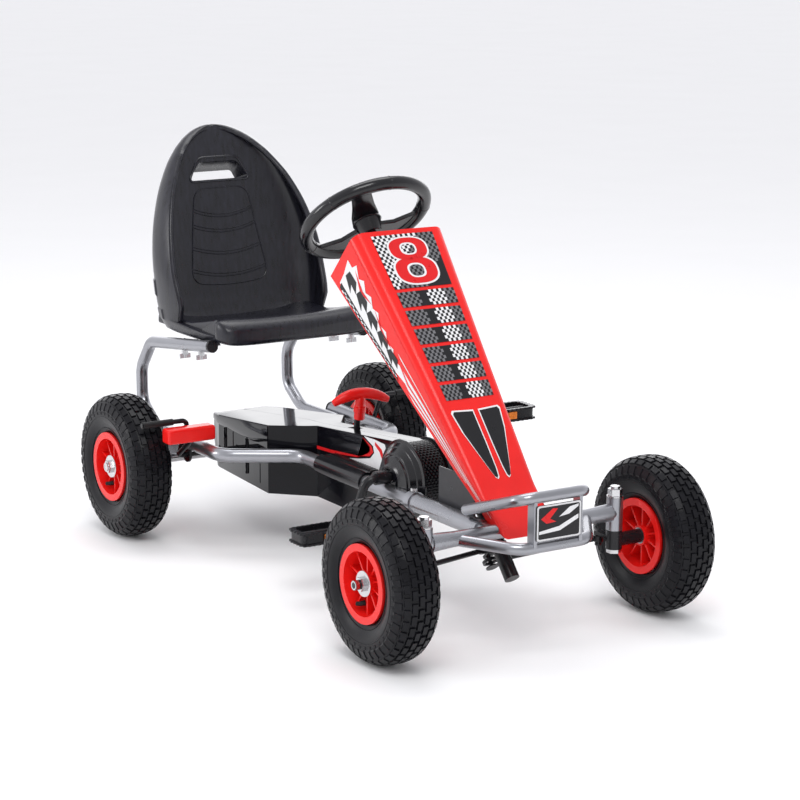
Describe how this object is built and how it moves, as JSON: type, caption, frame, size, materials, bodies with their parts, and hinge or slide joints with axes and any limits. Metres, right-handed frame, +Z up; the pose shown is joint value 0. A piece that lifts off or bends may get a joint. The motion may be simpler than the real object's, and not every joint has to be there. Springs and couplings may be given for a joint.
{
  "type": "pedal go kart",
  "caption": "Pedal-driven go kart with a tube frame, bucket seat, steered front wheels, chain drive to the rear axle and a hand brake.",
  "frame": {"origin": "on the ground, middle of the overall length and width", "axes": "+Y towards the back, the kart drives towards -Y; +X to the driver's left; +Z up"},
  "size_m": [0.6504, 1.2129, 0.7475],
  "materials": {
    "frame_silver": "satin metallic paint",
    "black_paint": "satin black paint",
    "dark_bracket": "satin",
    "zinc": "bright zinc",
    "steel": "ground",
    "red_plastic": "gloss",
    "black_gloss": "gloss",
    "black_matte": "fine grain",
    "rubber": "matte",
    "tyre": "moulded tread",
    "orange": "prismatic",
    "plate": "printed sheet"
  },
  "bodies": {
    "frame": {"main_rail_left": "frame_silver", "main_rail_right": "frame_silver", "rail_sleeves": "frame_silver", "front_axle_beam": "frame_silver", "bumper_lower": "frame_silver", "bumper_upper": "frame_silver", "number_plate": "plate", "rear_brackets": "frame_silver", "bearing_housings": "black_paint", "seat_tube_left": "frame_silver", "seat_tube_right": "frame_silver", "tube_caps": "black_matte", "rail_covers": "black_matte", "steering_support": "dark_bracket", "steering_bushes": "steel", "hood": "red_plastic", "brake_brackets": "black_paint", "frame_fasteners": "zinc", "chain_case_right": "black_gloss", "chain_case_left": "black_gloss", "chain": "steel", "frame_bearings": "steel", "gear_lever_pivot": "zinc"},
    "seat": {"seat_shell": "black_matte", "seat_bolts": "zinc"},
    "steering": {"steering_column": "black_paint", "steering_wheel": "black_matte", "steering_cap": "black_matte", "drop_arm": "black_paint"},
    "knuckle_right": {"knuckle_right": "black_paint", "kingpin_right": "zinc"},
    "knuckle_left": {"knuckle_left": "black_paint", "kingpin_left": "zinc"},
    "tie_rod_right": {"tie_rod_right": "black_paint"},
    "tie_rod_left": {"tie_rod_left": "black_paint"},
    "wheel_front_right": {"tyre_front_right": "tyre", "rim_front_right": "red_plastic", "wheel_bearings_front_right": "steel"},
    "wheel_front_left": {"tyre_front_left": "tyre", "rim_front_left": "red_plastic", "wheel_bearings_front_left": "steel"},
    "rear_axle": {"rear_axle": "zinc", "rear_sprocket": "steel", "rear_axle_nuts": "zinc", "tyre_rear_right": "tyre", "rim_rear_right": "red_plastic"},
    "wheel_rear_left": {"tyre_rear_left": "tyre", "rim_rear_left": "red_plastic", "wheel_bearings_rear_left": "steel"},
    "crank": {"crank": "black_paint", "chainring": "steel"},
    "pedal_right": {"pedal_right": "black_matte", "pedal_reflectors_right": "orange"},
    "pedal_left": {"pedal_left": "black_matte", "pedal_reflectors_left": "orange"},
    "gear_lever": {"gear_lever_rod": "black_paint", "gear_lever_handle": "red_plastic"},
    "hand_brake": {"brake_bar": "black_paint", "brake_sleeves": "rubber", "brake_grip": "red_plastic"}
  },
  "joints": [
    {"name": "steering_turn", "type": "hinge", "parent": "frame", "child": "steering", "pos_m": [0, 0.0219, 0.6355], "axis": [0, 0.6519, 0.7583], "range_deg": [-30, 30]},
    {"name": "knuckle_right_turn", "type": "hinge", "parent": "frame", "child": "knuckle_right", "pos_m": [-0.1915, -0.4712, 0.1353], "axis": [0, 0, 1], "range_deg": [-20.5, 20.5]},
    {"name": "tie_rod_right_swing", "type": "hinge", "parent": "knuckle_right", "child": "tie_rod_right", "pos_m": [-0.1915, -0.4269, 0.128], "axis": [0, 0, 1], "range_deg": [-20.5, 20.5]},
    {"name": "wheel_front_right_spin", "type": "hinge", "parent": "knuckle_right", "child": "wheel_front_right", "pos_m": [-0.2748, -0.4712, 0.1353], "axis": [1, 0, 0], "continuous": true},
    {"name": "knuckle_left_turn", "type": "hinge", "parent": "frame", "child": "knuckle_left", "pos_m": [0.1915, -0.4712, 0.1353], "axis": [0, 0, 1], "range_deg": [-20.5, 20.5]},
    {"name": "tie_rod_left_swing", "type": "hinge", "parent": "knuckle_left", "child": "tie_rod_left", "pos_m": [0.1915, -0.4269, 0.128], "axis": [0, 0, 1], "range_deg": [-20.5, 20.5]},
    {"name": "wheel_front_left_spin", "type": "hinge", "parent": "knuckle_left", "child": "wheel_front_left", "pos_m": [0.2748, -0.4712, 0.1353], "axis": [1, 0, 0], "continuous": true},
    {"name": "rear_axle_spin", "type": "hinge", "parent": "frame", "child": "rear_axle", "pos_m": [0, 0.426, 0.1353], "axis": [1, 0, 0], "continuous": true},
    {"name": "wheel_rear_left_spin", "type": "hinge", "parent": "rear_axle", "child": "wheel_rear_left", "pos_m": [0.2826, 0.426, 0.1353], "axis": [1, 0, 0], "continuous": true},
    {"name": "crank_spin", "type": "hinge", "parent": "frame", "child": "crank", "pos_m": [-0.01, -0.156, 0.21], "axis": [1, 0, 0], "continuous": true},
    {"name": "pedal_right_spin", "type": "hinge", "parent": "crank", "child": "pedal_right", "pos_m": [-0.18, -0.11687, 0.11364], "axis": [1, 0, 0], "continuous": true},
    {"name": "pedal_left_spin", "type": "hinge", "parent": "crank", "child": "pedal_left", "pos_m": [0.16, -0.19513, 0.30636], "axis": [1, 0, 0], "continuous": true},
    {"name": "gear_lever_tilt", "type": "hinge", "parent": "frame", "child": "gear_lever", "pos_m": [0.004, 0.06, 0.214], "axis": [1, 0, 0], "range_deg": [-10, 4]},
    {"name": "hand_brake_pull", "type": "hinge", "parent": "frame", "child": "hand_brake", "pos_m": [0, 0.345, 0.16], "axis": [-1, 0, 0], "range_deg": [0, 22]},
    {"name": "seat_slide", "type": "slide", "parent": "frame", "child": "seat", "axis": [0, -0.9917, 0.1288], "range_m": [0, 0.03]}
  ],
  "couplings": [
    {"joint": "knuckle_right_turn", "follows": "steering_turn", "ratio": 0.66667},
    {"joint": "knuckle_left_turn", "follows": "steering_turn", "ratio": 0.66667},
    {"joint": "tie_rod_right_swing", "follows": "steering_turn", "ratio": -0.66667},
    {"joint": "tie_rod_left_swing", "follows": "steering_turn", "ratio": -0.66667},
    {"joint": "crank_spin", "follows": "rear_axle_spin", "ratio": 0.5}
  ]
}
